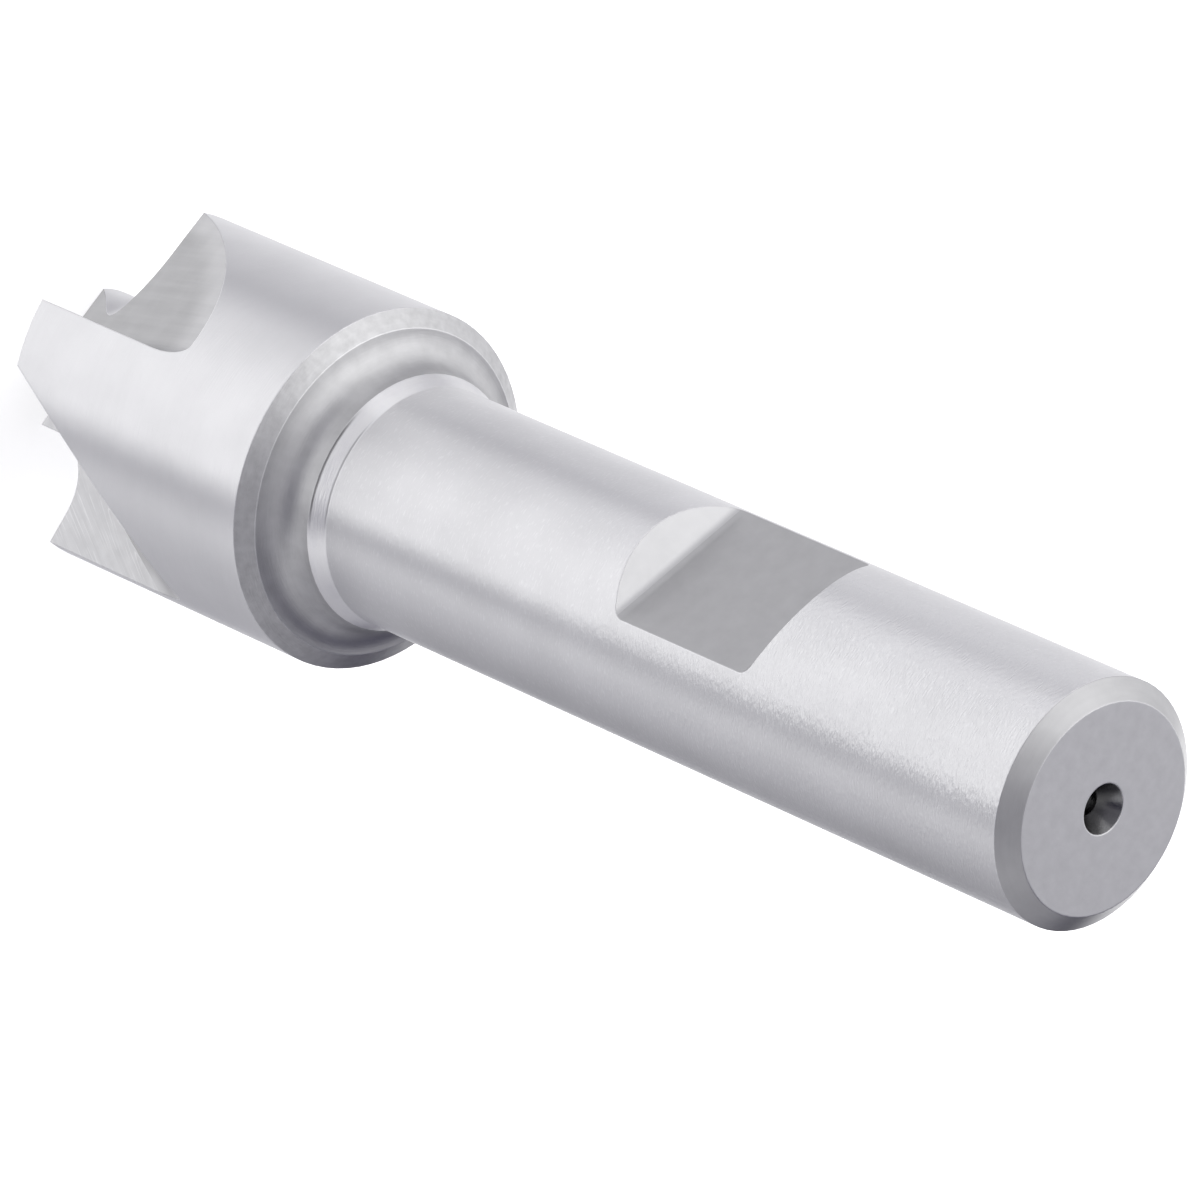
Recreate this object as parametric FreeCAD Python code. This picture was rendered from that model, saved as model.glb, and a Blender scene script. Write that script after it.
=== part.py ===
import FreeCAD, Part
import math
import os

# Corner rounding end mill, one solid piece of ground high speed steel.
# Millimetres. The tool stands on its cutting tip: the tip is at z = 0, the shank points up (+Z),
# and the tool's axis is the Z axis. The first tooth's rake face lies in the plane y = 0, at +X.

# Driving dimensions: the round body
overall_length = 76.2
shank_diameter = 12.7
shank_end_chamfer_length = 0.83
shank_end_chamfer_width = 0.97
head_diameter = 19.05
head_length = 23.5
head_back_rise = 0.62
cove_radius = 1.85
collar_step = 0.41
collar_length = 0.95

# Driving dimensions: the cutting form, drawn in the rake plane of a tooth
tooth_count = 4
pilot_diameter = 8.2
pilot_length = 1.17
corner_radius = 3.97
lip_flare_angle = 3.7
relief_tilt = 5.0
relief_offset = 0.8

# Driving dimensions: the gullets between the teeth
gullet_floor_angle = 25.3
gullet_floor_turn = 5.9
gullet_floor_below_tip = 3.8
gullet_corner_radius = 1.0

# Driving dimensions: the clamping flat on the shank
flat_depth = 1.85
flat_length = 9.35
flat_middle_from_end = 23.47
flat_end_slope = 31.3
flat_corner_radius = 0.8
flat_direction = -23.44

# Driving dimensions: the centre holes that the tool was ground between
shank_centre_diameter = 2.6
tip_centre_diameter = 2.0
centre_cone_angle = 60.0
centre_drill_share = 0.5
centre_drill_depth = 1.5
drill_point_angle = 118.0

# Room that a cutting solid has beyond the metal that it takes away, and how far round from one
# rake plane towards the next the form's cutting solid goes before it ends in open air
spare = 5.0
form_sweep_share = 0.85

# Sizes worked out from the ones above
shank_radius = shank_diameter / 2
head_radius = head_diameter / 2
pilot_radius = pilot_diameter / 2
collar_radius = shank_radius + collar_step
cove_outer_radius = collar_radius + cove_radius
back_face_height = head_length + head_back_rise
cove_top_height = back_face_height + cove_radius
neck_top_height = cove_top_height + collar_length
form_radius = pilot_radius + corner_radius
form_height = pilot_length + corner_radius
tooth_pitch = 360.0 / tooth_count
flat_middle_height = overall_length - flat_middle_from_end

# The axis and origin that everything is turned about, the share of a radius at which the middle
# of a quarter circle lies from its centre along each axis, and how near two lengths count as equal
Z_AXIS = FreeCAD.Vector(0, 0, 1)
ORIGIN = FreeCAD.Vector(0, 0, 0)
HALF_WAY = math.sqrt(0.5)
NEAR = 1e-6


def at(radius, height):
    """A point of a lathe outline, drawn in the plane y = 0."""
    return FreeCAD.Vector(radius, 0, height)


def arc_edge(start, middle, end):
    return Part.Arc(start, middle, end).toShape()


def lathe_outline(edges):
    """A full turn about the tool's axis of a closed outline."""
    return Part.Face(Part.Wire(edges)).revolve(ORIGIN, Z_AXIS, 360)


def turned(shape, angle):
    """A copy of a shape, turned about the tool's axis."""
    copy = shape.copy()
    copy.rotate(ORIGIN, Z_AXIS, angle)
    return copy


def make_blank():
    """The turned body: plain head, back face, cove, collar, shank and end chamfer.

    A seam at the height of the flat's middle parts the shank's wall in two stretches. Each has a
    whole circle at its own middle, so a holder's bore can be fitted to either side of the flat.
    """
    bottom = at(0, 0)
    bottom_edge = at(head_radius, 0)
    head_back = at(head_radius, head_length)
    cove_start = at(cove_outer_radius, back_face_height)
    cove_end = at(collar_radius, cove_top_height)
    cove_centre = at(cove_outer_radius, cove_top_height)
    cove_middle = cove_centre + at(-HALF_WAY * cove_radius, -HALF_WAY * cove_radius)
    neck_top = at(shank_radius, neck_top_height)
    shank_seam = at(shank_radius, flat_middle_height)
    chamfer_start = at(shank_radius, overall_length - shank_end_chamfer_length)
    chamfer_end = at(shank_radius - shank_end_chamfer_width, overall_length)
    top = at(0, overall_length)
    return lathe_outline([
        Part.makeLine(bottom, bottom_edge),
        Part.makeLine(bottom_edge, head_back),
        Part.makeLine(head_back, cove_start),
        arc_edge(cove_start, cove_middle, cove_end),
        Part.makeLine(cove_end, neck_top),
        Part.makeLine(neck_top, shank_seam),
        Part.makeLine(shank_seam, chamfer_start),
        Part.makeLine(chamfer_start, chamfer_end),
        Part.makeLine(chamfer_end, top),
        Part.makeLine(top, bottom),
    ])


def make_form_cutter():
    """What the form takes away behind one cutting edge, from its rake plane back into the next gullet.

    The outline of the edge runs up the pilot, round the concave corner and out along the lip. It is
    turned about an axis set aside from the tool's own and tilted, so the form falls away behind the
    edge in the radius and along the tool alike. This is the relief that keeps the same corner
    radius each time the rake face is ground back.
    """
    outer_radius = head_radius + spare
    lip_rise = math.tan(math.radians(lip_flare_angle)) * (outer_radius - form_radius)
    corner_centre = at(form_radius, pilot_length)
    corner_middle = corner_centre + at(-HALF_WAY * corner_radius, HALF_WAY * corner_radius)
    pilot_bottom = at(pilot_radius, -spare)
    pilot_end = at(pilot_radius, pilot_length)
    corner_end = at(form_radius, form_height)
    lip_end = at(outer_radius, form_height + lip_rise)
    outer_bottom = at(outer_radius, -spare)
    outline = Part.Face(Part.Wire([
        Part.makeLine(pilot_bottom, pilot_end),
        arc_edge(pilot_end, corner_middle, corner_end),
        Part.makeLine(corner_end, lip_end),
        Part.makeLine(lip_end, outer_bottom),
        Part.makeLine(outer_bottom, pilot_bottom),
    ]))
    relief_centre = FreeCAD.Vector(0, -relief_offset, 0)
    tilt = math.radians(relief_tilt)
    relief_axis = FreeCAD.Vector(0, -math.sin(tilt), math.cos(tilt))
    return outline.revolve(relief_centre, relief_axis, tooth_pitch * form_sweep_share)


def make_gullet_cutter():
    """The groove in front of one rake face: rake plane, rounded corner and sloping floor."""
    slope = 1 / math.tan(math.radians(gullet_floor_angle))
    turn = math.radians(gullet_floor_turn)
    floor_air = FreeCAD.Vector(slope * math.cos(turn), -slope * math.sin(turn), -1)
    floor_air.normalize()
    corner_line = FreeCAD.Vector(1, 0, slope * math.cos(turn))
    corner_line.normalize()
    up_rake = FreeCAD.Vector(corner_line.z, 0, -corner_line.x)
    along_floor = floor_air.cross(corner_line)
    if along_floor.y > 0:
        along_floor = along_floor.negative()
    # The round corner touches the two planes at this distance from the line where they meet.
    opening = math.acos(up_rake.dot(along_floor))
    touch = gullet_corner_radius / math.tan(opening / 2)
    to_centre = up_rake + along_floor
    to_centre.normalize()
    near = gullet_corner_radius / math.sin(opening / 2) - gullet_corner_radius
    corner = FreeCAD.Vector(0, 0, -gullet_floor_below_tip)
    reach = overall_length
    begin = corner - corner_line * spare
    on_rake = begin + up_rake * touch
    on_floor = begin + along_floor * touch
    round_middle = begin + to_centre * near
    far_rake = begin + up_rake * reach
    far_floor = begin + along_floor * reach
    far_corner = far_rake + along_floor * reach
    section = Part.Face(Part.Wire([
        Part.makeLine(far_rake, on_rake),
        arc_edge(on_rake, round_middle, on_floor),
        Part.makeLine(on_floor, far_floor),
        Part.makeLine(far_floor, far_corner),
        Part.makeLine(far_corner, far_rake),
    ]))
    return section.extrude(corner_line * (reach + spare))


def make_flat_cutter():
    """The clamping flat: a level floor with round corners and ends that slope outwards."""
    floor_radius = shank_radius - flat_depth
    outer_radius = shank_radius + spare
    half_length = flat_length / 2
    spread = math.tan(math.radians(flat_end_slope)) * (outer_radius - floor_radius)
    low_floor = at(floor_radius, flat_middle_height - half_length)
    high_floor = at(floor_radius, flat_middle_height + half_length)
    high_outer = at(outer_radius, flat_middle_height + half_length + spread)
    low_outer = at(outer_radius, flat_middle_height - half_length - spread)
    section = Part.Face(Part.makePolygon([low_floor, high_floor, high_outer, low_outer, low_floor]))
    section.translate(FreeCAD.Vector(0, -outer_radius, 0))
    block = section.extrude(FreeCAD.Vector(0, 2 * outer_radius, 0))
    floor_ends = [
        edge for edge in block.Edges
        if all(abs(vertex.Point.x - floor_radius) < NEAR for vertex in edge.Vertexes)
        and abs(edge.Vertexes[0].Point.z - edge.Vertexes[1].Point.z) < NEAR
    ]
    return turned(block.makeFillet(flat_corner_radius, floor_ends), flat_direction)


def make_centre_hole(mouth_diameter, mouth_height, inward):
    """A centre drill's hole: a cone at the mouth, then a straight drilled end with its point."""
    mouth_radius = mouth_diameter / 2
    drill_radius = mouth_radius * centre_drill_share
    cone_depth = (mouth_radius - drill_radius) / math.tan(math.radians(centre_cone_angle / 2))
    point_depth = drill_radius / math.tan(math.radians(drill_point_angle / 2))
    drill_end = cone_depth + centre_drill_depth
    heights = [mouth_height + inward * depth for depth in (0, cone_depth, drill_end, drill_end + point_depth)]
    outline = Part.makePolygon([
        at(0, heights[0]),
        at(mouth_radius, heights[0]),
        at(drill_radius, heights[1]),
        at(drill_radius, heights[2]),
        at(0, heights[3]),
        at(0, heights[0]),
    ])
    return Part.Face(outline).revolve(ORIGIN, Z_AXIS, 360)


def make_end_mill():
    tool = make_blank()
    form_cutter = make_form_cutter()
    gullet_cutter = make_gullet_cutter()
    for tooth in range(tooth_count):
        tool = tool.cut(turned(form_cutter, tooth * tooth_pitch))
    for tooth in range(tooth_count):
        tool = tool.cut(turned(gullet_cutter, tooth * tooth_pitch))
    tool = tool.cut(make_flat_cutter())
    tool = tool.cut(make_centre_hole(shank_centre_diameter, overall_length, -1))
    tool = tool.cut(make_centre_hole(tip_centre_diameter, 0, 1))
    return tool.Solids[0]


os.makedirs("parts", exist_ok=True)
end_mill = make_end_mill()
end_mill.exportStep("parts/end_mill.step")
print("end_mill valid", end_mill.isValid(), "volume", round(end_mill.Volume, 1), "faces", len(end_mill.Faces))
print("box", end_mill.BoundBox)
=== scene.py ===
# %% [markdown]
# # A corner rounding end mill
#
# This tool rounds the outer edge of a workpiece. It is one piece of high speed steel: a plain
# shank with a clamping flat, a neck with a hollow curve, and a head with four teeth. The solid
# model gives the whole form, so this lesson is about the finish. Ground steel has hardly any
# colour of its own. What the eye reads as steel is the way each surface spreads its
# reflections, so most of the work is in the tool marks and in the light around the tool.

# %% Load the tool
import math

import bmesh
import bpy
from mathutils import Matrix, Vector


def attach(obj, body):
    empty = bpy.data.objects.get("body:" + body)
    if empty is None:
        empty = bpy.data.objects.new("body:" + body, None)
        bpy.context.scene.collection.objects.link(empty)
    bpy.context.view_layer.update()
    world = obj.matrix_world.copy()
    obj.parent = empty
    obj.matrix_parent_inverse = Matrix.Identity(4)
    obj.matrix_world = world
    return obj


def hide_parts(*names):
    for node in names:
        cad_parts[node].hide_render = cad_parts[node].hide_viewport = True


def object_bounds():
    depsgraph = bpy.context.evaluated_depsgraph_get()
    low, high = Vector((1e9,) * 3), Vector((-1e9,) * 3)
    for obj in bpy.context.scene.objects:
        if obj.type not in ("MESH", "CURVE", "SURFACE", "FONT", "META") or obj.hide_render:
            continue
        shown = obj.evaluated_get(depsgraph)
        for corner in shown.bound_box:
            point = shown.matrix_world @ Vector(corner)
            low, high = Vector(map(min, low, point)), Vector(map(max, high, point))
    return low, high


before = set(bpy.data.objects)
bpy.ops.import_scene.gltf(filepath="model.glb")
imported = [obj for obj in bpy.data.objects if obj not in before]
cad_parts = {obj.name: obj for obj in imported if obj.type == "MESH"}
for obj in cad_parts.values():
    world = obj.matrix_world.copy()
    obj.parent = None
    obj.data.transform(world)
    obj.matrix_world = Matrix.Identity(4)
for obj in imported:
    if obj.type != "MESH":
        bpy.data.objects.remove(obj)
end_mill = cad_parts["end_mill"]
solid_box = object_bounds()
MM = 0.001
print("the tool is", [round((high - low) / MM, 2) for low, high in zip(*solid_box)], "mm")

# %% [markdown]
# The picture is taken with a long lens, so the tool's lines hardly draw together. In this scene
# the tool stands upright on its cutting tip. The camera therefore looks down on the shank's end
# from about 43 degrees above the level, and is rolled so that the tool lies across the frame. A
# camera could be aimed by hand or with a constraint. Here three angles and a place are written
# down, because they can be measured and then read again by anyone.

# %% Camera
CAMERA_PLACE = Vector((0.39266, 0.08072, 0.42026))
CAMERA_AZIMUTH = math.radians(11.531)
CAMERA_ELEVATION = math.radians(43.432)
CAMERA_ROLL = math.radians(113.905)
LENS_MM = 335.23
SENSOR_MM = 36.0
NEAR_CLIP = 0.05
FAR_CLIP = 20.0


def camera_turn(azimuth, elevation, roll):
    """The turn of a camera that looks back along an azimuth and an elevation, and is rolled."""
    backward = Vector((
        math.cos(elevation) * math.cos(azimuth),
        math.cos(elevation) * math.sin(azimuth),
        math.sin(elevation),
    ))
    level_right = Vector((0, 0, 1)).cross(backward).normalized()
    level_up = backward.cross(level_right)
    right = level_right * math.cos(roll) + level_up * math.sin(roll)
    up = level_up * math.cos(roll) - level_right * math.sin(roll)
    return Matrix((right, up, backward)).transposed().to_4x4()


camera_data = bpy.data.cameras.new("camera")
camera_data.lens = LENS_MM
camera_data.sensor_width = SENSOR_MM
camera_data.clip_start = NEAR_CLIP
camera_data.clip_end = FAR_CLIP
camera = bpy.data.objects.new("camera", camera_data)
bpy.context.scene.collection.objects.link(camera)
camera.matrix_world = Matrix.Translation(CAMERA_PLACE) @ camera_turn(
    CAMERA_AZIMUTH, CAMERA_ELEVATION, CAMERA_ROLL
)
bpy.context.scene.camera = camera
print("camera", round(CAMERA_PLACE.length, 3), "m from the cutting tip")

# %% [markdown]
# A node tree is easier to read when each line says what it does. These small helpers add a node,
# set its plain values and join its inputs, and give the sums and soft steps that the rest uses.

# %% Helpers for node trees


def add_node(tree, kind, inputs=(), **settings):
    """Adds one node. inputs lists (socket, value), where a value may be an output to join."""
    node = tree.nodes.new(kind)
    for name, value in settings.items():
        setattr(node, name, value)
    for socket, value in inputs:
        if isinstance(value, bpy.types.NodeSocket):
            tree.links.new(value, node.inputs[socket])
        else:
            node.inputs[socket].default_value = value
    return node


def do_math(tree, operation, *values):
    """One Math node's result."""
    node = add_node(tree, "ShaderNodeMath", list(enumerate(values)), operation=operation)
    return node.outputs["Value"]


def do_vector_math(tree, operation, inputs, output, label=""):
    """One Vector Math node's result."""
    node = add_node(tree, "ShaderNodeVectorMath", inputs, operation=operation, label=label)
    return node.outputs[output]


def between(tree, value, low, high, to_low=0.0, to_high=1.0):
    """A soft step: to_low where value is at low or past it, to_high at high or past it."""
    value_range = [("Value", value), ("From Min", low), ("From Max", high)]
    result_range = [("To Min", to_low), ("To Max", to_high)]
    node = add_node(
        tree, "ShaderNodeMapRange", value_range + result_range, interpolation_type="SMOOTHSTEP"
    )
    return node.outputs["Result"]


print("helpers: add_node, do_math, do_vector_math and between")

# %% [markdown]
# Polished metal is only as good as what it mirrors. A photographer puts a bright soft box on one
# side, leaves the other side of the room dark, and lays pale cards round the tool, and the edges
# of these make the bands along the shank. They could be lamps and planes. Here they are painted
# on the sky as soft discs, because the sky is endlessly far away, so each band runs straight
# along the tool as it does on the real one. A disc with negative light stands for a dark card.
# The camera itself sees plain white.

# %% The studio in the sky
ROOM_COLOR = (0.425, 0.421, 0.456)
CARD_COLOR = (1.0, 1.0, 0.985)
# Each disc has a name, the azimuth and elevation of its middle in degrees, the cosines of the
# angles from its middle at which it ends and at which it is full, and its light.
SOFT_DISCS = [
    ("soft_box", -104.6, 18.8, 0.28, 0.64, 0.58),
    ("dark_side_of_room", 177.0, -26.4, -0.50, 0.46, -0.49),
    ("rim_card", -171.4, -27.9, 0.89, 0.99, 1.75),
    ("front_card", -7.9, -31.1, 0.56, 0.84, 0.58),
    ("far_card", 76.2, -48.9, 0.31, 0.49, 0.37),
    ("low_card", -124.0, -68.0, 0.63, 0.91, 0.75),
    ("side_card", 110.9, -9.6, 0.51, 0.79, 0.55),
    ("side_card_shade", 116.8, 26.8, 0.0, 0.50, -0.43),
    ("front_shade", -39.5, -16.0, 0.25, 0.47, -0.25),
    ("top_card", -160.8, 62.0, 0.07, 0.41, 0.50),
]


def sky_direction(azimuth, elevation):
    """The direction of a place on the sky, from its azimuth and elevation in degrees."""
    azimuth = math.radians(azimuth)
    elevation = math.radians(elevation)
    return (
        math.cos(elevation) * math.cos(azimuth),
        math.cos(elevation) * math.sin(azimuth),
        math.sin(elevation),
    )


def soft_disc(tree, looking, name, azimuth, elevation, end_cosine, full_cosine, light):
    """One disc's light in the direction of looking."""
    middle = sky_direction(azimuth, elevation)
    nearness = do_vector_math(tree, "DOT_PRODUCT", [(0, looking), (1, middle)], "Value", label=name)
    return between(tree, nearness, end_cosine, full_cosine, 0.0, light)


def build_sky():
    world = bpy.data.worlds.new("studio")
    bpy.context.scene.world = world
    world.use_nodes = True
    tree = world.node_tree
    tree.nodes.clear()
    looking = add_node(tree, "ShaderNodeTexCoord").outputs["Generated"]
    light = 0.0
    for disc in SOFT_DISCS:
        light = do_math(tree, "ADD", light, soft_disc(tree, looking, *disc))
    room = do_vector_math(
        tree,
        "MULTIPLY_ADD",
        [(0, light), (1, CARD_COLOR), (2, ROOM_COLOR)],
        "Vector",
        label="room_and_cards",
    )
    seen_by_camera = add_node(tree, "ShaderNodeLightPath").outputs["Is Camera Ray"]
    color = do_vector_math(tree, "MAXIMUM", [(0, room), (1, seen_by_camera)], "Vector")
    background = add_node(tree, "ShaderNodeBackground", [("Color", color)])
    add_node(tree, "ShaderNodeOutputWorld", [("Surface", background.outputs["Background"])])


build_sky()
print("the sky has", len(SOFT_DISCS), "soft discs")

# %% [markdown]
# The floor is a sheet of white paper that the tool stands on with its cutting tip. It could be
# left out, but then nothing would carry the tool's shadow. It is one flat grid. Its colour is
# nearly white, and a little light of its own, for the camera alone, lifts it to the white of the
# page while the soft shadow stays on it. The steel doesn't mirror the paper, so that the cards in
# the lower half of the sky reach the tool's underside.

# %% Floor
FLOOR_HALF_WIDTH = 3.0
FLOOR_COLOR = (0.9, 0.9, 0.9, 1.0)
FLOOR_OWN_LIGHT = 0.66


def white_paper():
    material = bpy.data.materials.new("white_paper")
    material.use_nodes = True
    tree = material.node_tree
    tree.nodes.clear()
    paper = add_node(tree, "ShaderNodeBsdfDiffuse", [("Color", FLOOR_COLOR)])
    seen_by_camera = add_node(tree, "ShaderNodeLightPath").outputs["Is Camera Ray"]
    own_light = do_math(tree, "MULTIPLY", seen_by_camera, FLOOR_OWN_LIGHT)
    glow = add_node(tree, "ShaderNodeEmission", [("Strength", own_light)])
    shaders = [(0, paper.outputs["BSDF"]), (1, glow.outputs["Emission"])]
    both = add_node(tree, "ShaderNodeAddShader", shaders)
    add_node(tree, "ShaderNodeOutputMaterial", [("Surface", both.outputs["Shader"])])
    return material


def build_floor():
    bm = bmesh.new()
    bmesh.ops.create_grid(bm, x_segments=1, y_segments=1, size=FLOOR_HALF_WIDTH)
    mesh = bpy.data.meshes.new("paper_floor")
    bm.to_mesh(mesh)
    bm.free()
    mesh.materials.append(white_paper())
    floor = bpy.data.objects.new("paper_floor", mesh)
    bpy.context.scene.collection.objects.link(floor)
    floor.visible_glossy = False


build_floor()
print("the floor is", 2 * FLOOR_HALF_WIDTH, "m wide")

# %% [markdown]
# One large soft lamp hangs over the tool on the side of the soft box. It lights the paper and
# gives the tool a faint shadow to stand on. The steel doesn't mirror it, since the soft box in
# the sky already stands for it there.

# %% Lamp
LAMP_SIZE = 0.6
LAMP_DISTANCE = 0.9
LAMP_ELEVATION = 58.0
LAMP_AZIMUTH = -98.5
LAMP_WATTS = 4.0


def build_lamp():
    data = bpy.data.lights.new("soft_box_lamp", "AREA")
    data.shape = "DISK"
    data.size = LAMP_SIZE
    data.energy = LAMP_WATTS
    lamp = bpy.data.objects.new("soft_box_lamp", data)
    bpy.context.scene.collection.objects.link(lamp)
    place = Vector(sky_direction(LAMP_AZIMUTH, LAMP_ELEVATION)) * LAMP_DISTANCE
    lamp.location = place
    lamp.rotation_euler = place.to_track_quat("Z", "Y").to_euler()
    lamp.visible_glossy = False


build_lamp()
print("one lamp of", LAMP_WATTS, "W")

# %% [markdown]
# Every surface of the tool was finished on another machine, and each machine leaves its own
# marks. The faces could be picked by hand, but then they would have to be picked again after each
# change of the solid. So a face is given to its machine by where it lies and which way it looks:
# by its height, by whether it is part of a round wall, and by the plane of the rake faces.

# %% Sizes that tell the faces apart
# two places that are nearer than this touch
TOUCH = 0.004 * MM
# the head's radius and the tool's length come from the far corner of the solid's own box
HEAD_RADIUS = solid_box[1][0]
TOOL_LENGTH = solid_box[1][2]
SHANK_RADIUS = 6.35 * MM
HEAD_LENGTH = 23.5 * MM
BACK_RISE = 0.62 * MM
COVE_RADIUS = 1.85 * MM
NECK_LENGTH = 0.95 * MM
CHAMFER_LENGTH = 0.83 * MM
COVE_START = HEAD_LENGTH + BACK_RISE
COVE_TOP = COVE_START + COVE_RADIUS
NECK_TOP = COVE_TOP + NECK_LENGTH
CHAMFER_START = TOOL_LENGTH - CHAMFER_LENGTH
CENTRE_HOLE_REACH = 1.31 * MM
RELIEF_TOP = 6.5 * MM
TOOTH_COUNT = 4
TOOTH_PITCH = math.tau / TOOTH_COUNT
# the gullet's floor in the first tooth's frame: z = start + rise * (x * cos(turn) - y * sin(turn))
GULLET_FLOOR_START = -3.8 * MM
GULLET_FLOOR_ANGLE = math.radians(25.3)
GULLET_FLOOR_RISE = 1 / math.tan(GULLET_FLOOR_ANGLE)
GULLET_FLOOR_TURN = math.radians(5.9)
GULLET_FLOOR_SPARE = 0.02 * MM
# cosines that say which way a face looks, and the least share of a round wall's own radius
FACES_STRAIGHT = 0.999
FACES_OUTWARD = 0.99
FACES_ALONG = 0.45
ROUND_SHARE = 0.995

MACHINES = [
    "ground_shank",
    "ground_head",
    "polished_neck",
    "turned_chamfer",
    "turned_back",
    "formed_cove",
    "faced_end",
    "milled_flat",
    "milled_slope",
    "swept_gullet",
    "ground_rake",
    "drilled",
]
print("the tool saw", len(MACHINES), "machines")

# %% Which machine made each face


def first_tooth_place(point, quarter):
    """A point turned about the axis back into the frame of the first gullet."""
    return Matrix.Rotation(-quarter * TOOTH_PITCH, 3, "Z") @ point


def gullet_quarter(point):
    """Which gullet's quarter of the tool a point lies in. The first lies at x > 0 and y < 0."""
    return math.floor(math.atan2(point.y, point.x) / TOOTH_PITCH) + 1


def tooth_machine(middle, facing):
    """The machine of a face on the teeth, where the relief was ground as the head was."""
    quarter = gullet_quarter(middle)
    local = first_tooth_place(middle, quarter)
    turned = first_tooth_place(facing, quarter)
    if abs(local.y) < TOUCH and turned.y < -FACES_STRAIGHT:
        return "ground_rake"
    if abs(local.x) < TOUCH and turned.x < -FACES_STRAIGHT:
        return "ground_rake"
    outward = local.x * math.cos(GULLET_FLOOR_TURN) - local.y * math.sin(GULLET_FLOOR_TURN)
    floor_height = GULLET_FLOOR_START + GULLET_FLOOR_RISE * outward
    is_relief = floor_height + GULLET_FLOOR_SPARE < middle.z < RELIEF_TOP
    return "ground_head" if is_relief else "swept_gullet"


def machine_of(corners, middle, facing):
    """The name of the machine that finished a face."""
    radius = math.hypot(middle.x, middle.y)
    outward = (facing.x * middle.x + facing.y * middle.y) / radius
    reach = max(math.hypot(corner.x, corner.y) for corner in corners)
    if reach < CENTRE_HOLE_REACH and outward < 0:
        return "drilled"
    if middle.z > CHAMFER_START:
        return "faced_end" if facing.z > FACES_STRAIGHT else "turned_chamfer"
    if middle.z > NECK_TOP:
        if radius > SHANK_RADIUS * ROUND_SHARE and outward > FACES_OUTWARD:
            return "ground_shank"
        return "milled_slope" if abs(facing.z) > FACES_ALONG else "milled_flat"
    if middle.z > COVE_TOP:
        return "polished_neck"
    if middle.z > COVE_START:
        return "formed_cove"
    if middle.z > HEAD_LENGTH:
        return "turned_back"
    if radius > HEAD_RADIUS * ROUND_SHARE and outward > FACES_OUTWARD:
        return "ground_head"
    return tooth_machine(middle, facing)


print("a tooth's quarter is", round(math.degrees(TOOTH_PITCH)), "degrees")

# %% [markdown]
# A map tells the shader where each corner lies along and across the marks. Round walls were
# finished while the tool turned, so their marks run round it. The flat was milled across, a wide
# disc cutter swept the gullets along their floor, and the flat face of a wheel ground the rake
# faces, where it drew arcs about its own middle. A hand unwrap could follow these ways too, but
# a formula for each machine is exact, and it can be read.

# %% The map of the marks
FLAT_DIRECTION = math.radians(-23.44)
# the middle of the grinding wheel as it lies on a rake face, and its radius there
WHEEL_CENTRE_HEIGHT = 23.0 * MM
WHEEL_CENTRE_REACH = -16.0 * MM
WHEEL_RADIUS = 27.0 * MM
# round walls whose radius shrinks up the tool, where the height less the radius never stands still
NARROWING_MACHINES = {"polished_neck", "turned_chamfer", "turned_back", "formed_cove"}
ROUND_MACHINES = {"ground_shank", "ground_head", "drilled"} | NARROWING_MACHINES


def round_place(machine, corner, middle):
    """Places on a round wall: round it, measured at the shank's radius, and up it."""
    middle_angle = math.atan2(middle.y, middle.x)
    angle = math.atan2(corner.y, corner.x)
    while angle - middle_angle > math.pi:
        angle -= math.tau
    while middle_angle - angle > math.pi:
        angle += math.tau
    side = -1 if machine in NARROWING_MACHINES else 1
    return angle * SHANK_RADIUS, corner.z + side * math.hypot(corner.x, corner.y)


def flat_place(corner):
    """Places on the clamping flat: across the shank, and up it."""
    across = Matrix.Rotation(-FLAT_DIRECTION, 3, "Z") @ corner
    return across.y, across.z


def gullet_place(local):
    """Places in a gullet: along its floor, and away from the rake face."""
    along = Vector((1, 0, GULLET_FLOOR_RISE * math.cos(GULLET_FLOOR_TURN))).normalized()
    return local.dot(along), local.y


def rake_place(local, middle):
    """Places on a rake face: along and across the arcs that the grinding wheel's face drew."""
    outward = local.x if abs(middle.y) < TOUCH else -local.y
    reach = outward - WHEEL_CENTRE_REACH
    drop = WHEEL_CENTRE_HEIGHT - local.z
    return math.atan2(reach, drop) * WHEEL_RADIUS, math.hypot(reach, drop)


def marks_place(machine, corner, middle):
    """Where a corner lies along and across the marks that its machine left, in metres."""
    if machine in ROUND_MACHINES:
        return round_place(machine, corner, middle)
    if machine == "faced_end":
        return corner.x, corner.y
    if machine in ("milled_flat", "milled_slope"):
        return flat_place(corner)
    quarter = gullet_quarter(middle)
    local = first_tooth_place(corner, quarter)
    if machine == "swept_gullet":
        return gullet_place(local)
    return rake_place(local, first_tooth_place(middle, quarter))


print("marks run round the tool on", len(ROUND_MACHINES), "of the finishes")

# %% [markdown]
# The finish goes on a copy, because the solid itself stays as it is. The copy's doubled corners
# are merged, so that a bevel can see across an edge. The solid's own surface directions are
# carried over, so that reflections stay smooth. On walls that are round about the axis they have
# a slight crease where the surface begins and ends, so there they are led straight out from the
# axis again. Shading the copy smooth would be shorter, but it would round off the sharp edges.

# %% A dressed copy of the solid
MERGE_DISTANCE = 0.0004 * MM
FACES_LEVEL = 0.01


def is_turned_wall(machine, corner, direction):
    """Whether a corner lies on a wall that is round about the tool's axis."""
    radius = math.hypot(corner.x, corner.y)
    if machine == "ground_head":
        return radius > HEAD_RADIUS - TOUCH and abs(direction.z) < FACES_LEVEL
    return machine in ROUND_MACHINES and radius > TOUCH


def true_round(corner, direction):
    """The direction of a turned wall, led straight out from the axis or in to it at a corner."""
    outward = direction.x * corner.x + direction.y * corner.y
    level = math.copysign(math.hypot(direction.x, direction.y), outward)
    radius = math.hypot(corner.x, corner.y)
    return Vector((corner.x / radius * level, corner.y / radius * level, direction.z))


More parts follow.
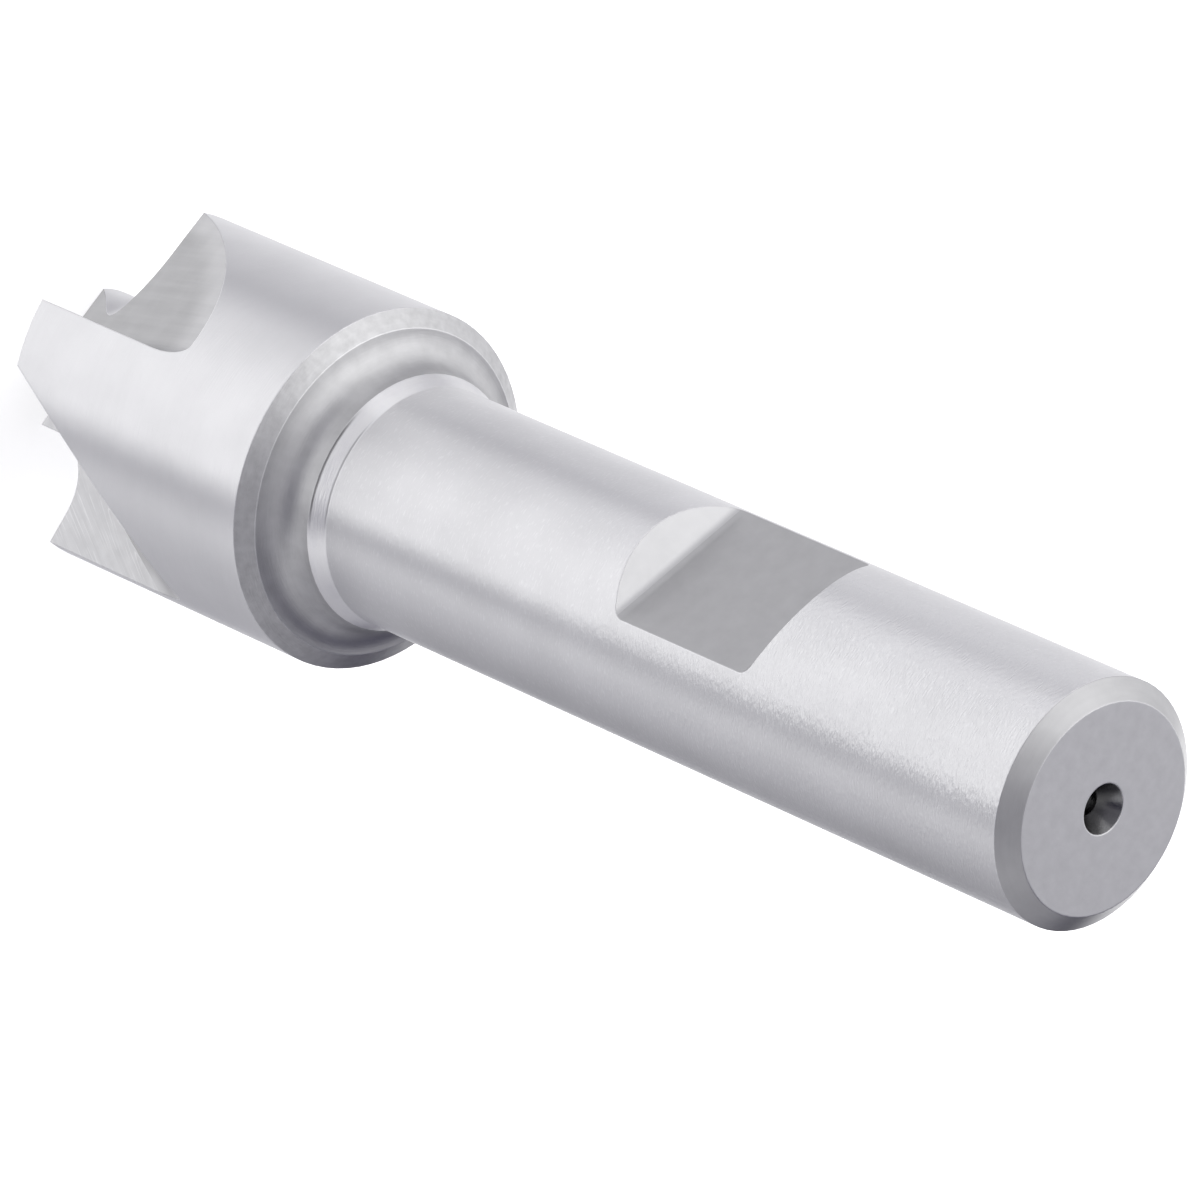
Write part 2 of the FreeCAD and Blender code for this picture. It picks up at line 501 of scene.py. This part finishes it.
def merged_copy(node):
    """A copy of a solid's mesh with its doubled corners merged, and its surface directions."""
    mesh = node.data.copy()
    mesh.name = node.name + "_dressed"
    mesh.materials.clear()
    kept = mesh.attributes.new("kept_direction", "FLOAT_VECTOR", "CORNER")
    for index, normal in enumerate(node.data.corner_normals):
        kept.data[index].vector = normal.vector
    bm = bmesh.new()
    bm.from_mesh(mesh)
    bmesh.ops.remove_doubles(bm, verts=bm.verts, dist=MERGE_DISTANCE)
    bm.to_mesh(mesh)
    bm.free()
    directions = [item.vector.copy() for item in mesh.attributes["kept_direction"].data]
    mesh.attributes.remove(mesh.attributes["kept_direction"])
    return mesh, directions


def dress(node):
    """A merged copy of a solid, with each face given to its machine and a map of the marks."""
    mesh, directions = merged_copy(node)
    marks_map = mesh.uv_layers.new(name="marks")
    counts = dict.fromkeys(MACHINES, 0)
    for polygon in mesh.polygons:
        corners = [mesh.vertices[index].co for index in polygon.vertices]
        middle = sum(corners, Vector()) / len(corners)
        machine = machine_of(corners, middle, polygon.normal)
        counts[machine] += 1
        polygon.material_index = MACHINES.index(machine)
        for index, corner in zip(polygon.loop_indices, corners):
            marks_map.data[index].uv = marks_place(machine, corner, middle)
            if is_turned_wall(machine, corner, directions[index]):
                directions[index] = true_round(corner, directions[index])
    mesh.normals_split_custom_set(directions)
    dressed = bpy.data.objects.new(node.name + "_dressed", mesh)
    bpy.context.scene.collection.objects.link(dressed)
    return dressed, counts


tool, face_counts = dress(end_mill)
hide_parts("end_mill")
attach(tool, "root")
print("faces by machine", face_counts)

# %% [markdown]
# The marks themselves are a noise that is stretched along the machine's way. Its height feeds a
# bump, so each mark tilts the mirror a little and sparkles where the light changes fast, and its
# highest places give pale flecks. A wider noise on the same map stands for bands that a coarser
# grain left. A cloudy noise stands for the way steel is never quite even: wear, oil and handling
# shift the gloss over some millimetres. A picture of steel could be laid on instead, but it would
# bring its own light with it. All of it is one group with named sockets, and every machine's
# steel uses it with its own numbers.

# %% Tool marks as a node group
MARK_SCALE = 1.0
MARK_DETAIL = 2.0
MARK_ROUGHNESS = 0.5
BAND_SCALE = 0.21
BAND_DETAIL = 3.0
BAND_ROUGHNESS = 0.6
CLOUD_DETAIL = 4.0
CLOUD_ROUGHNESS = 0.55
NOISE_MIDDLE = 0.5
FLECK_STARTS = 0.58
FLECK_FULL = 0.74


def new_group(name, inputs, outputs):
    """An empty shader node group with named sockets. inputs and outputs list (name, kind)."""
    group = bpy.data.node_groups.new(name, "ShaderNodeTree")
    for in_out, sockets in (("INPUT", inputs), ("OUTPUT", outputs)):
        for socket_name, kind in sockets:
            group.interface.new_socket(socket_name, in_out=in_out, socket_type="NodeSocket" + kind)
    return group, group.nodes.new("NodeGroupInput"), group.nodes.new("NodeGroupOutput")


def add_noise(tree, vector, scale, detail, roughness, dimensions):
    """One Noise Texture's value."""
    sockets = [("Vector", vector), ("Scale", scale), ("Detail", detail), ("Roughness", roughness)]
    return add_node(tree, "ShaderNodeTexNoise", sockets, noise_dimensions=dimensions).outputs["Fac"]


def build_marks_group():
    group, given, result = new_group(
        "tool_marks",
        [
            ("Map", "Vector"),
            ("Place", "Vector"),
            ("Mark Length", "Float"),
            ("Mark Width", "Float"),
            ("Cloud Size", "Float"),
            ("Cloud Amount", "Float"),
            ("Band Amount", "Float"),
        ],
        [("Height", "Float"), ("Flecks", "Float"), ("Unevenness", "Float")],
    )
    parts = add_node(group, "ShaderNodeSeparateXYZ", [(0, given.outputs["Map"])])
    along = do_math(group, "DIVIDE", parts.outputs["X"], given.outputs["Mark Length"])
    across = do_math(group, "DIVIDE", parts.outputs["Y"], given.outputs["Mark Width"])
    stretched = add_node(group, "ShaderNodeCombineXYZ", [("X", along), ("Y", across)]).outputs["Vector"]
    marks = add_noise(group, stretched, MARK_SCALE, MARK_DETAIL, MARK_ROUGHNESS, "2D")
    bands = add_noise(group, stretched, BAND_SCALE, BAND_DETAIL, BAND_ROUGHNESS, "2D")
    cloud_scale = do_math(group, "DIVIDE", 1.0, given.outputs["Cloud Size"])
    clouds = add_noise(group, given.outputs["Place"], cloud_scale, CLOUD_DETAIL, CLOUD_ROUGHNESS, "3D")
    cloudy = do_math(group, "SUBTRACT", clouds, NOISE_MIDDLE)
    banded = do_math(group, "SUBTRACT", bands, NOISE_MIDDLE)
    unevenness = do_math(
        group,
        "ADD",
        do_math(group, "MULTIPLY", cloudy, given.outputs["Cloud Amount"]),
        do_math(group, "MULTIPLY", banded, given.outputs["Band Amount"]),
    )
    group.links.new(marks, result.inputs["Height"])
    group.links.new(between(group, marks, FLECK_STARTS, FLECK_FULL), result.inputs["Flecks"])
    group.links.new(unevenness, result.inputs["Unevenness"])
    return group


tool_marks = build_marks_group()
print("the group", tool_marks.name, "has", len(tool_marks.nodes), "nodes")

# %% [markdown]
# No real edge is quite sharp: a stone has taken the burr off each one, and the narrow strip that
# it left catches light from other directions. It could be cut into the mesh as a bevel, but it is
# only a tenth of a millimetre wide. A bevel node rounds the mirrored direction there instead, and
# where that direction departs from the straight one a highlight is painted into the colour, which
# makes the steel a little paler. The rounding and the painted highlight give the thin bright lines.

# %% Broken edges with a painted highlight as a node group
EDGE_BREAK = 0.1 * MM
EDGE_SAMPLES = 6
# how far the rounded direction agrees with the straight one where the painted highlight starts and is
# full
EDGE_STARTS = 0.998
EDGE_FULL = 0.98


def build_edge_group():
    group, given, result = new_group(
        "broken_edge_and_painted_highlight", [("Painted Highlight", "Float")], [("Normal", "Vector"), ("Painted Highlight", "Float")]
    )
    edge = add_node(group, "ShaderNodeBevel", [("Radius", EDGE_BREAK)], samples=EDGE_SAMPLES)
    rounded = edge.outputs["Normal"]
    straight = add_node(group, "ShaderNodeNewGeometry").outputs["Normal"]
    agreement = do_vector_math(group, "DOT_PRODUCT", [(0, rounded), (1, straight)], "Value")
    # Painted highlight: the colour is paler where the rounded direction departs from the straight one.
    painted_highlight = between(group, agreement, EDGE_FULL, EDGE_STARTS, given.outputs["Painted Highlight"], 0.0)
    group.links.new(rounded, result.inputs["Normal"])
    group.links.new(painted_highlight, result.inputs["Painted Highlight"])
    return group


broken_edge_and_painted_highlight = build_edge_group()
print("edges are broken by", round(EDGE_BREAK / MM, 2), "mm")

# %% [markdown]
# Ground steel spreads its reflections across the marks far more than along them, which is what
# pulls the highlights into long bands. A fine bump alone would need far more samples, so the
# shader does most of it with its anisotropy, turned a quarter from the direction of the map. One
# function builds every machine's steel, and each machine then has its own short function.

# %% Steel for one machine
PLAIN_STEEL = (0.865, 0.865, 0.87)
QUARTER_TURN = 0.25


def marks_node(tree, place, mark_length, mark_width, cloud_size, cloud, bands):
    """The group of tool marks with one machine's numbers. Lengths are in millimetres."""
    marks_map = add_node(tree, "ShaderNodeUVMap", uv_map="marks").outputs["UV"]
    node = add_node(tree, "ShaderNodeGroup", node_tree=tool_marks)
    tree.links.new(marks_map, node.inputs["Map"])
    tree.links.new(place, node.inputs["Place"])
    node.inputs["Mark Length"].default_value = mark_length * MM
    node.inputs["Mark Width"].default_value = mark_width * MM
    node.inputs["Cloud Size"].default_value = cloud_size * MM
    node.inputs["Cloud Amount"].default_value = cloud
    node.inputs["Band Amount"].default_value = bands
    return node


def steel(
    machine, *, tone, roughness, anisotropy, painted_edge_highlight, mark_length, mark_width, mark_depth,
    cloud_size, cloud, bands, gloss, flecks=0.0, own_painted_light=None, mark_share=None
):
    """One machine's steel.

    tone is how much of plain steel's light it gives back. cloud and bands say how uneven that is,
    and gloss says how much smoother the paler places are. The sizes of marks and clouds are in
    millimetres. The edge number is how much highlight is painted on the broken edges. The
    function given for painted light adds light or shade that is painted on this machine's faces
    alone, and mark_share says how strong the marks are from place to place.
    """
    material = bpy.data.materials.new(machine + "_steel")
    material.use_nodes = True
    tree = material.node_tree
    tree.nodes.clear()
    place = add_node(tree, "ShaderNodeTexCoord").outputs["Object"]
    marks = marks_node(tree, place, mark_length, mark_width, cloud_size, cloud, bands)
    edge = add_node(tree, "ShaderNodeGroup", node_tree=broken_edge_and_painted_highlight)
    edge.inputs["Painted Highlight"].default_value = painted_edge_highlight
    unevenness = marks.outputs["Unevenness"]
    # The broken edges' painted highlight is added to the colour here.
    shade = do_math(tree, "ADD", do_math(tree, "ADD", 1.0, unevenness), edge.outputs["Painted Highlight"])
    shade = do_math(tree, "MULTIPLY_ADD", marks.outputs["Flecks"], flecks, shade)
    # Light or shade painted on this machine's faces alone.
    if own_painted_light:
        shade = own_painted_light(tree, place, shade)
    plain_color = [channel * tone for channel in PLAIN_STEEL]
    color = do_vector_math(tree, "SCALE", [(0, plain_color), ("Scale", shade)], "Vector")
    rough = do_math(tree, "SUBTRACT", roughness, do_math(tree, "MULTIPLY", unevenness, gloss))
    bump = add_node(
        tree,
        "ShaderNodeBump",
        [
            ("Strength", mark_share(tree, place) if mark_share else 1.0),
            ("Distance", mark_depth * MM),
            ("Height", marks.outputs["Height"]),
            ("Normal", edge.outputs["Normal"]),
        ],
    )
    way = add_node(tree, "ShaderNodeTangent", direction_type="UV_MAP", uv_map="marks")
    surface = add_node(
        tree,
        "ShaderNodeBsdfPrincipled",
        [
            ("Base Color", color),
            ("Metallic", 1.0),
            ("Roughness", rough),
            ("Anisotropic", anisotropy),
            ("Anisotropic Rotation", QUARTER_TURN),
            ("Tangent", way.outputs["Tangent"]),
            ("Normal", bump.outputs["Normal"]),
        ],
        distribution="MULTI_GGX",
    )
    add_node(tree, "ShaderNodeOutputMaterial", [("Surface", surface.outputs["BSDF"])])
    return material


print("plain steel gives back", PLAIN_STEEL)

# %% [markdown]
# The shank and the head were ground while the tool turned between centres. The shank has been
# handled and clamped since, so its marks show more towards its end. The real soft box also stood
# near, so its bands change along the shank, which a sky can't do. Two long soft patches of painted
# reflection stand in for this: one is a painted paler band and one a painted darker band. They
# could be drawn in an image, but an angle and a height are all that they need.

# %% Ground shank and head
# Each patch of painted reflection has the azimuth of its middle, its half widths where it is full
# and where it is gone, the heights where it is nothing and where it is full, and how much paler it is
# painted.
SHANK_PAINTED_REFLECTIONS = [
    (math.radians(-33.5), math.radians(8), math.radians(34), 32.0 * MM, 58.0 * MM, 0.13),
    (math.radians(83.5), math.radians(5), math.radians(27), 27.0 * MM, 34.0 * MM, -0.17),
]
HANDLED_FROM = 38.0 * MM
HANDLED_FULL = 62.0 * MM
UNHANDLED_SHARE = 0.3


def angle_and_height(tree, place):
    """The angle of a place round the tool, and its height."""
    parts = add_node(tree, "ShaderNodeSeparateXYZ", [(0, place)])
    return do_math(tree, "ARCTAN2", parts.outputs["Y"], parts.outputs["X"]), parts.outputs["Z"]


def off_by(tree, value, middle):
    """How far a value lies from a middle, to either side."""
    return do_math(tree, "ABSOLUTE", do_math(tree, "SUBTRACT", value, middle))


def painted_shank_reflections(tree, place, shade):
    """Long soft patches of painted reflection on the shank, one paler and one darker."""
    angle, height = angle_and_height(tree, place)
    for middle, full, gone, none_at, full_at, change in SHANK_PAINTED_REFLECTIONS:
        across = between(tree, off_by(tree, angle, middle), full, gone, change, 0.0)
        along = between(tree, height, none_at, full_at)
        shade = do_math(tree, "MULTIPLY_ADD", across, along, shade)
    return shade


def handled_share(tree, place):
    """How strong the shank's marks are: faint by the neck, and full where it has been held."""
    height = add_node(tree, "ShaderNodeSeparateXYZ", [(0, place)]).outputs["Z"]
    return between(tree, height, HANDLED_FROM, HANDLED_FULL, UNHANDLED_SHARE, 1.0)


def ground_shank():
    return steel(
        "ground_shank", tone=1.0, roughness=0.33, anisotropy=0.88, painted_edge_highlight=0.15, flecks=0.08,
        mark_length=0.42, mark_width=0.09, mark_depth=0.031,
        cloud_size=4.0, cloud=0.12, bands=0.02, gloss=0.5,
        own_painted_light=painted_shank_reflections, mark_share=handled_share,
    )


def ground_head():
    return steel(
        "ground_head", tone=1.01, roughness=0.31, anisotropy=0.889, painted_edge_highlight=0.14,
        mark_length=0.8, mark_width=0.09, mark_depth=0.012,
        cloud_size=4.0, cloud=0.12, bands=0.02, gloss=0.5,
    )


print("the shank has", len(SHANK_PAINTED_REFLECTIONS), "soft patches")

# %% [markdown]
# The neck is polished, and two fine lines run round one side of it. They could be cut into the
# mesh, but they are finer than the solid's faces, so their shade is painted as darker lines in the
# colour.

# %% Polished neck
GROOVE_MIDDLE = math.radians(12.0)
GROOVE_FADE = math.radians(15.0)
GROOVE_HALF_SPAN = math.radians(32.0)
# height, half width, and how much darker the painted line of shade is
PAINTED_GROOVE_LINES = [(26.04 * MM, 0.12 * MM, 0.75), (26.84 * MM, 0.08 * MM, 0.45)]


def painted_groove_shade(tree, place, shade):
    """The neck's two fine lines of painted shade, which fade out at their ends."""
    angle, height = angle_and_height(tree, place)
    off_middle = off_by(tree, angle, GROOVE_MIDDLE)
    reach = between(tree, off_middle, GROOVE_FADE, GROOVE_HALF_SPAN, 1.0, 0.0)
    left = 1.0
    for line_height, half_width, depth in PAINTED_GROOVE_LINES:
        line = between(tree, off_by(tree, height, line_height), 0.0, half_width, depth, 0.0)
        left = do_math(tree, "SUBTRACT", left, do_math(tree, "MULTIPLY", line, reach))
    return do_math(tree, "MULTIPLY", shade, left)


def polished_neck():
    return steel(
        "polished_neck", tone=1.15, roughness=0.34, anisotropy=0.8, painted_edge_highlight=0.0,
        mark_length=0.8, mark_width=0.1, mark_depth=0.01,
        cloud_size=1.0, cloud=0.2, bands=0.1, gloss=0.3,
        own_painted_light=painted_groove_shade,
    )


print("the neck has", len(PAINTED_GROOVE_LINES), "fine lines")

# %% [markdown]
# The chamfer, the ring behind the head, the hollow cove and the end face were turned on a lathe
# and never ground, so they are greyer and spread the light more evenly. They could share one
# steel, but the ring has coarse grey clouds and a painted highlight along each edge, and the end
# face is paler than the rest.

# %% Turned faces


def turned_chamfer():
    return steel(
        "turned_chamfer", tone=0.65, roughness=0.38, anisotropy=0.3, painted_edge_highlight=0.2,
        mark_length=0.6, mark_width=0.1, mark_depth=0.003,
        cloud_size=1.0, cloud=0.15, bands=0.1, gloss=0.1,
    )


def turned_back():
    return steel(
        "turned_back", tone=0.7, roughness=0.4, anisotropy=0.3, painted_edge_highlight=0.62,
        mark_length=0.4, mark_width=0.1, mark_depth=0.008,
        cloud_size=0.5, cloud=0.4, bands=0.15, gloss=0.1,
    )


def formed_cove():
    return steel(
        "formed_cove", tone=0.71, roughness=0.42, anisotropy=0.4, painted_edge_highlight=0.4,
        mark_length=0.8, mark_width=0.1, mark_depth=0.006,
        cloud_size=1.0, cloud=0.3, bands=0.1, gloss=0.1,
    )


def faced_end():
    return steel(
        "faced_end", tone=0.96, roughness=0.35, anisotropy=0.0, painted_edge_highlight=0.0,
        mark_length=0.3, mark_width=0.2, mark_depth=0.0015,
        cloud_size=0.7, cloud=0.2, bands=0.04, gloss=0.3,
    )


turned_names = ("turned_chamfer", "turned_back", "formed_cove", "faced_end")
print("the lathe made", sum(face_counts[name] for name in turned_names), "of the faces")

# %% [markdown]
# The flat and its slopes were milled, and they are dull and nearly even. The gullets show the
# long sweeps of a disc cutter. At the gullet's mouth, where the cutter lifted out through the head's
# outer wall, a paler band of light is painted into the colour. It could be drawn in an image, but it
# follows from the distance to the axis. The rake faces have the wheel's arcs, with pale flecks among
# them, and the centre holes have painted shade inside and a painted highlight on the rim.

# %% Flat, gullets, rake faces and centre holes
LIFT_STARTS = 8.0 * MM
LIFT_FULL = 9.3 * MM
MOUTH_PAINTED_LIGHT = 0.3


def painted_mouth_light(tree, place, shade):
    """Painted light: paler near the head's outer wall, where the cutter lifts out of a gullet."""
    parts = add_node(tree, "ShaderNodeSeparateXYZ", [(0, place)])
    level = add_node(
        tree, "ShaderNodeCombineXYZ", [("X", parts.outputs["X"]), ("Y", parts.outputs["Y"])]
    ).outputs["Vector"]
    radius = do_vector_math(tree, "LENGTH", [(0, level)], "Value")
    band = between(tree, radius, LIFT_STARTS, LIFT_FULL)
    return do_math(tree, "MULTIPLY_ADD", band, MOUTH_PAINTED_LIGHT, shade)


def milled_flat():
    return steel(
        "milled_flat", tone=0.69, roughness=0.48, anisotropy=0.0, painted_edge_highlight=0.3,
        mark_length=0.5, mark_width=0.2, mark_depth=0.002,
        cloud_size=0.9, cloud=0.14, bands=0.05, gloss=0.2,
    )


def milled_slope():
    return steel(
        "milled_slope", tone=0.79, roughness=0.44, anisotropy=0.0, painted_edge_highlight=0.15,
        mark_length=0.5, mark_width=0.2, mark_depth=0.002,
        cloud_size=0.9, cloud=0.1, bands=0.05, gloss=0.2,
    )


def swept_gullet():
    return steel(
        "swept_gullet", tone=0.53, roughness=0.4, anisotropy=0.5, painted_edge_highlight=0.1,
        mark_length=3.0, mark_width=0.09, mark_depth=0.004,
        cloud_size=2.0, cloud=0.2, bands=0.2, gloss=0.2,
        own_painted_light=painted_mouth_light,
    )


def ground_rake():
    return steel(
        "ground_rake", tone=0.78, roughness=0.4, anisotropy=0.5, painted_edge_highlight=0.1, flecks=0.14,
        mark_length=3.0, mark_width=0.07, mark_depth=0.008,
        cloud_size=1.2, cloud=0.2, bands=0.22, gloss=0.2,
    )


def drilled():
    # Painted shade: the dark tone stands for the shade inside the centre hole, and the large edge
    # number paints a bright highlight on its rim.
    return steel(
        "drilled", tone=0.3, roughness=0.22, anisotropy=0.3, painted_edge_highlight=1.5,
        mark_length=0.5, mark_width=0.1, mark_depth=0.006,
        cloud_size=0.6, cloud=0.2, bands=0.1, gloss=0.3,
    )


print("a gullet's pale band starts", round(LIFT_STARTS / MM, 1), "mm from the axis")

# %% [markdown]
# The faces already carry the number of their machine, so each steel goes into the slot that has
# its machine's number.

# %% Lay the steels on the tool
STEELS = {
    "ground_shank": ground_shank,
    "ground_head": ground_head,
    "polished_neck": polished_neck,
    "turned_chamfer": turned_chamfer,
    "turned_back": turned_back,
    "formed_cove": formed_cove,
    "faced_end": faced_end,
    "milled_flat": milled_flat,
    "milled_slope": milled_slope,
    "swept_gullet": swept_gullet,
    "ground_rake": ground_rake,
    "drilled": drilled,
}
for machine_name in MACHINES:
    tool.data.materials.append(STEELS[machine_name]())
print("finishes", [slot.name for slot in tool.data.materials])

# %% [markdown]
# Last come the settings of the picture. Nothing here changes the tool's form.

# %% Finish
bpy.context.scene.view_settings.view_transform = "Standard"
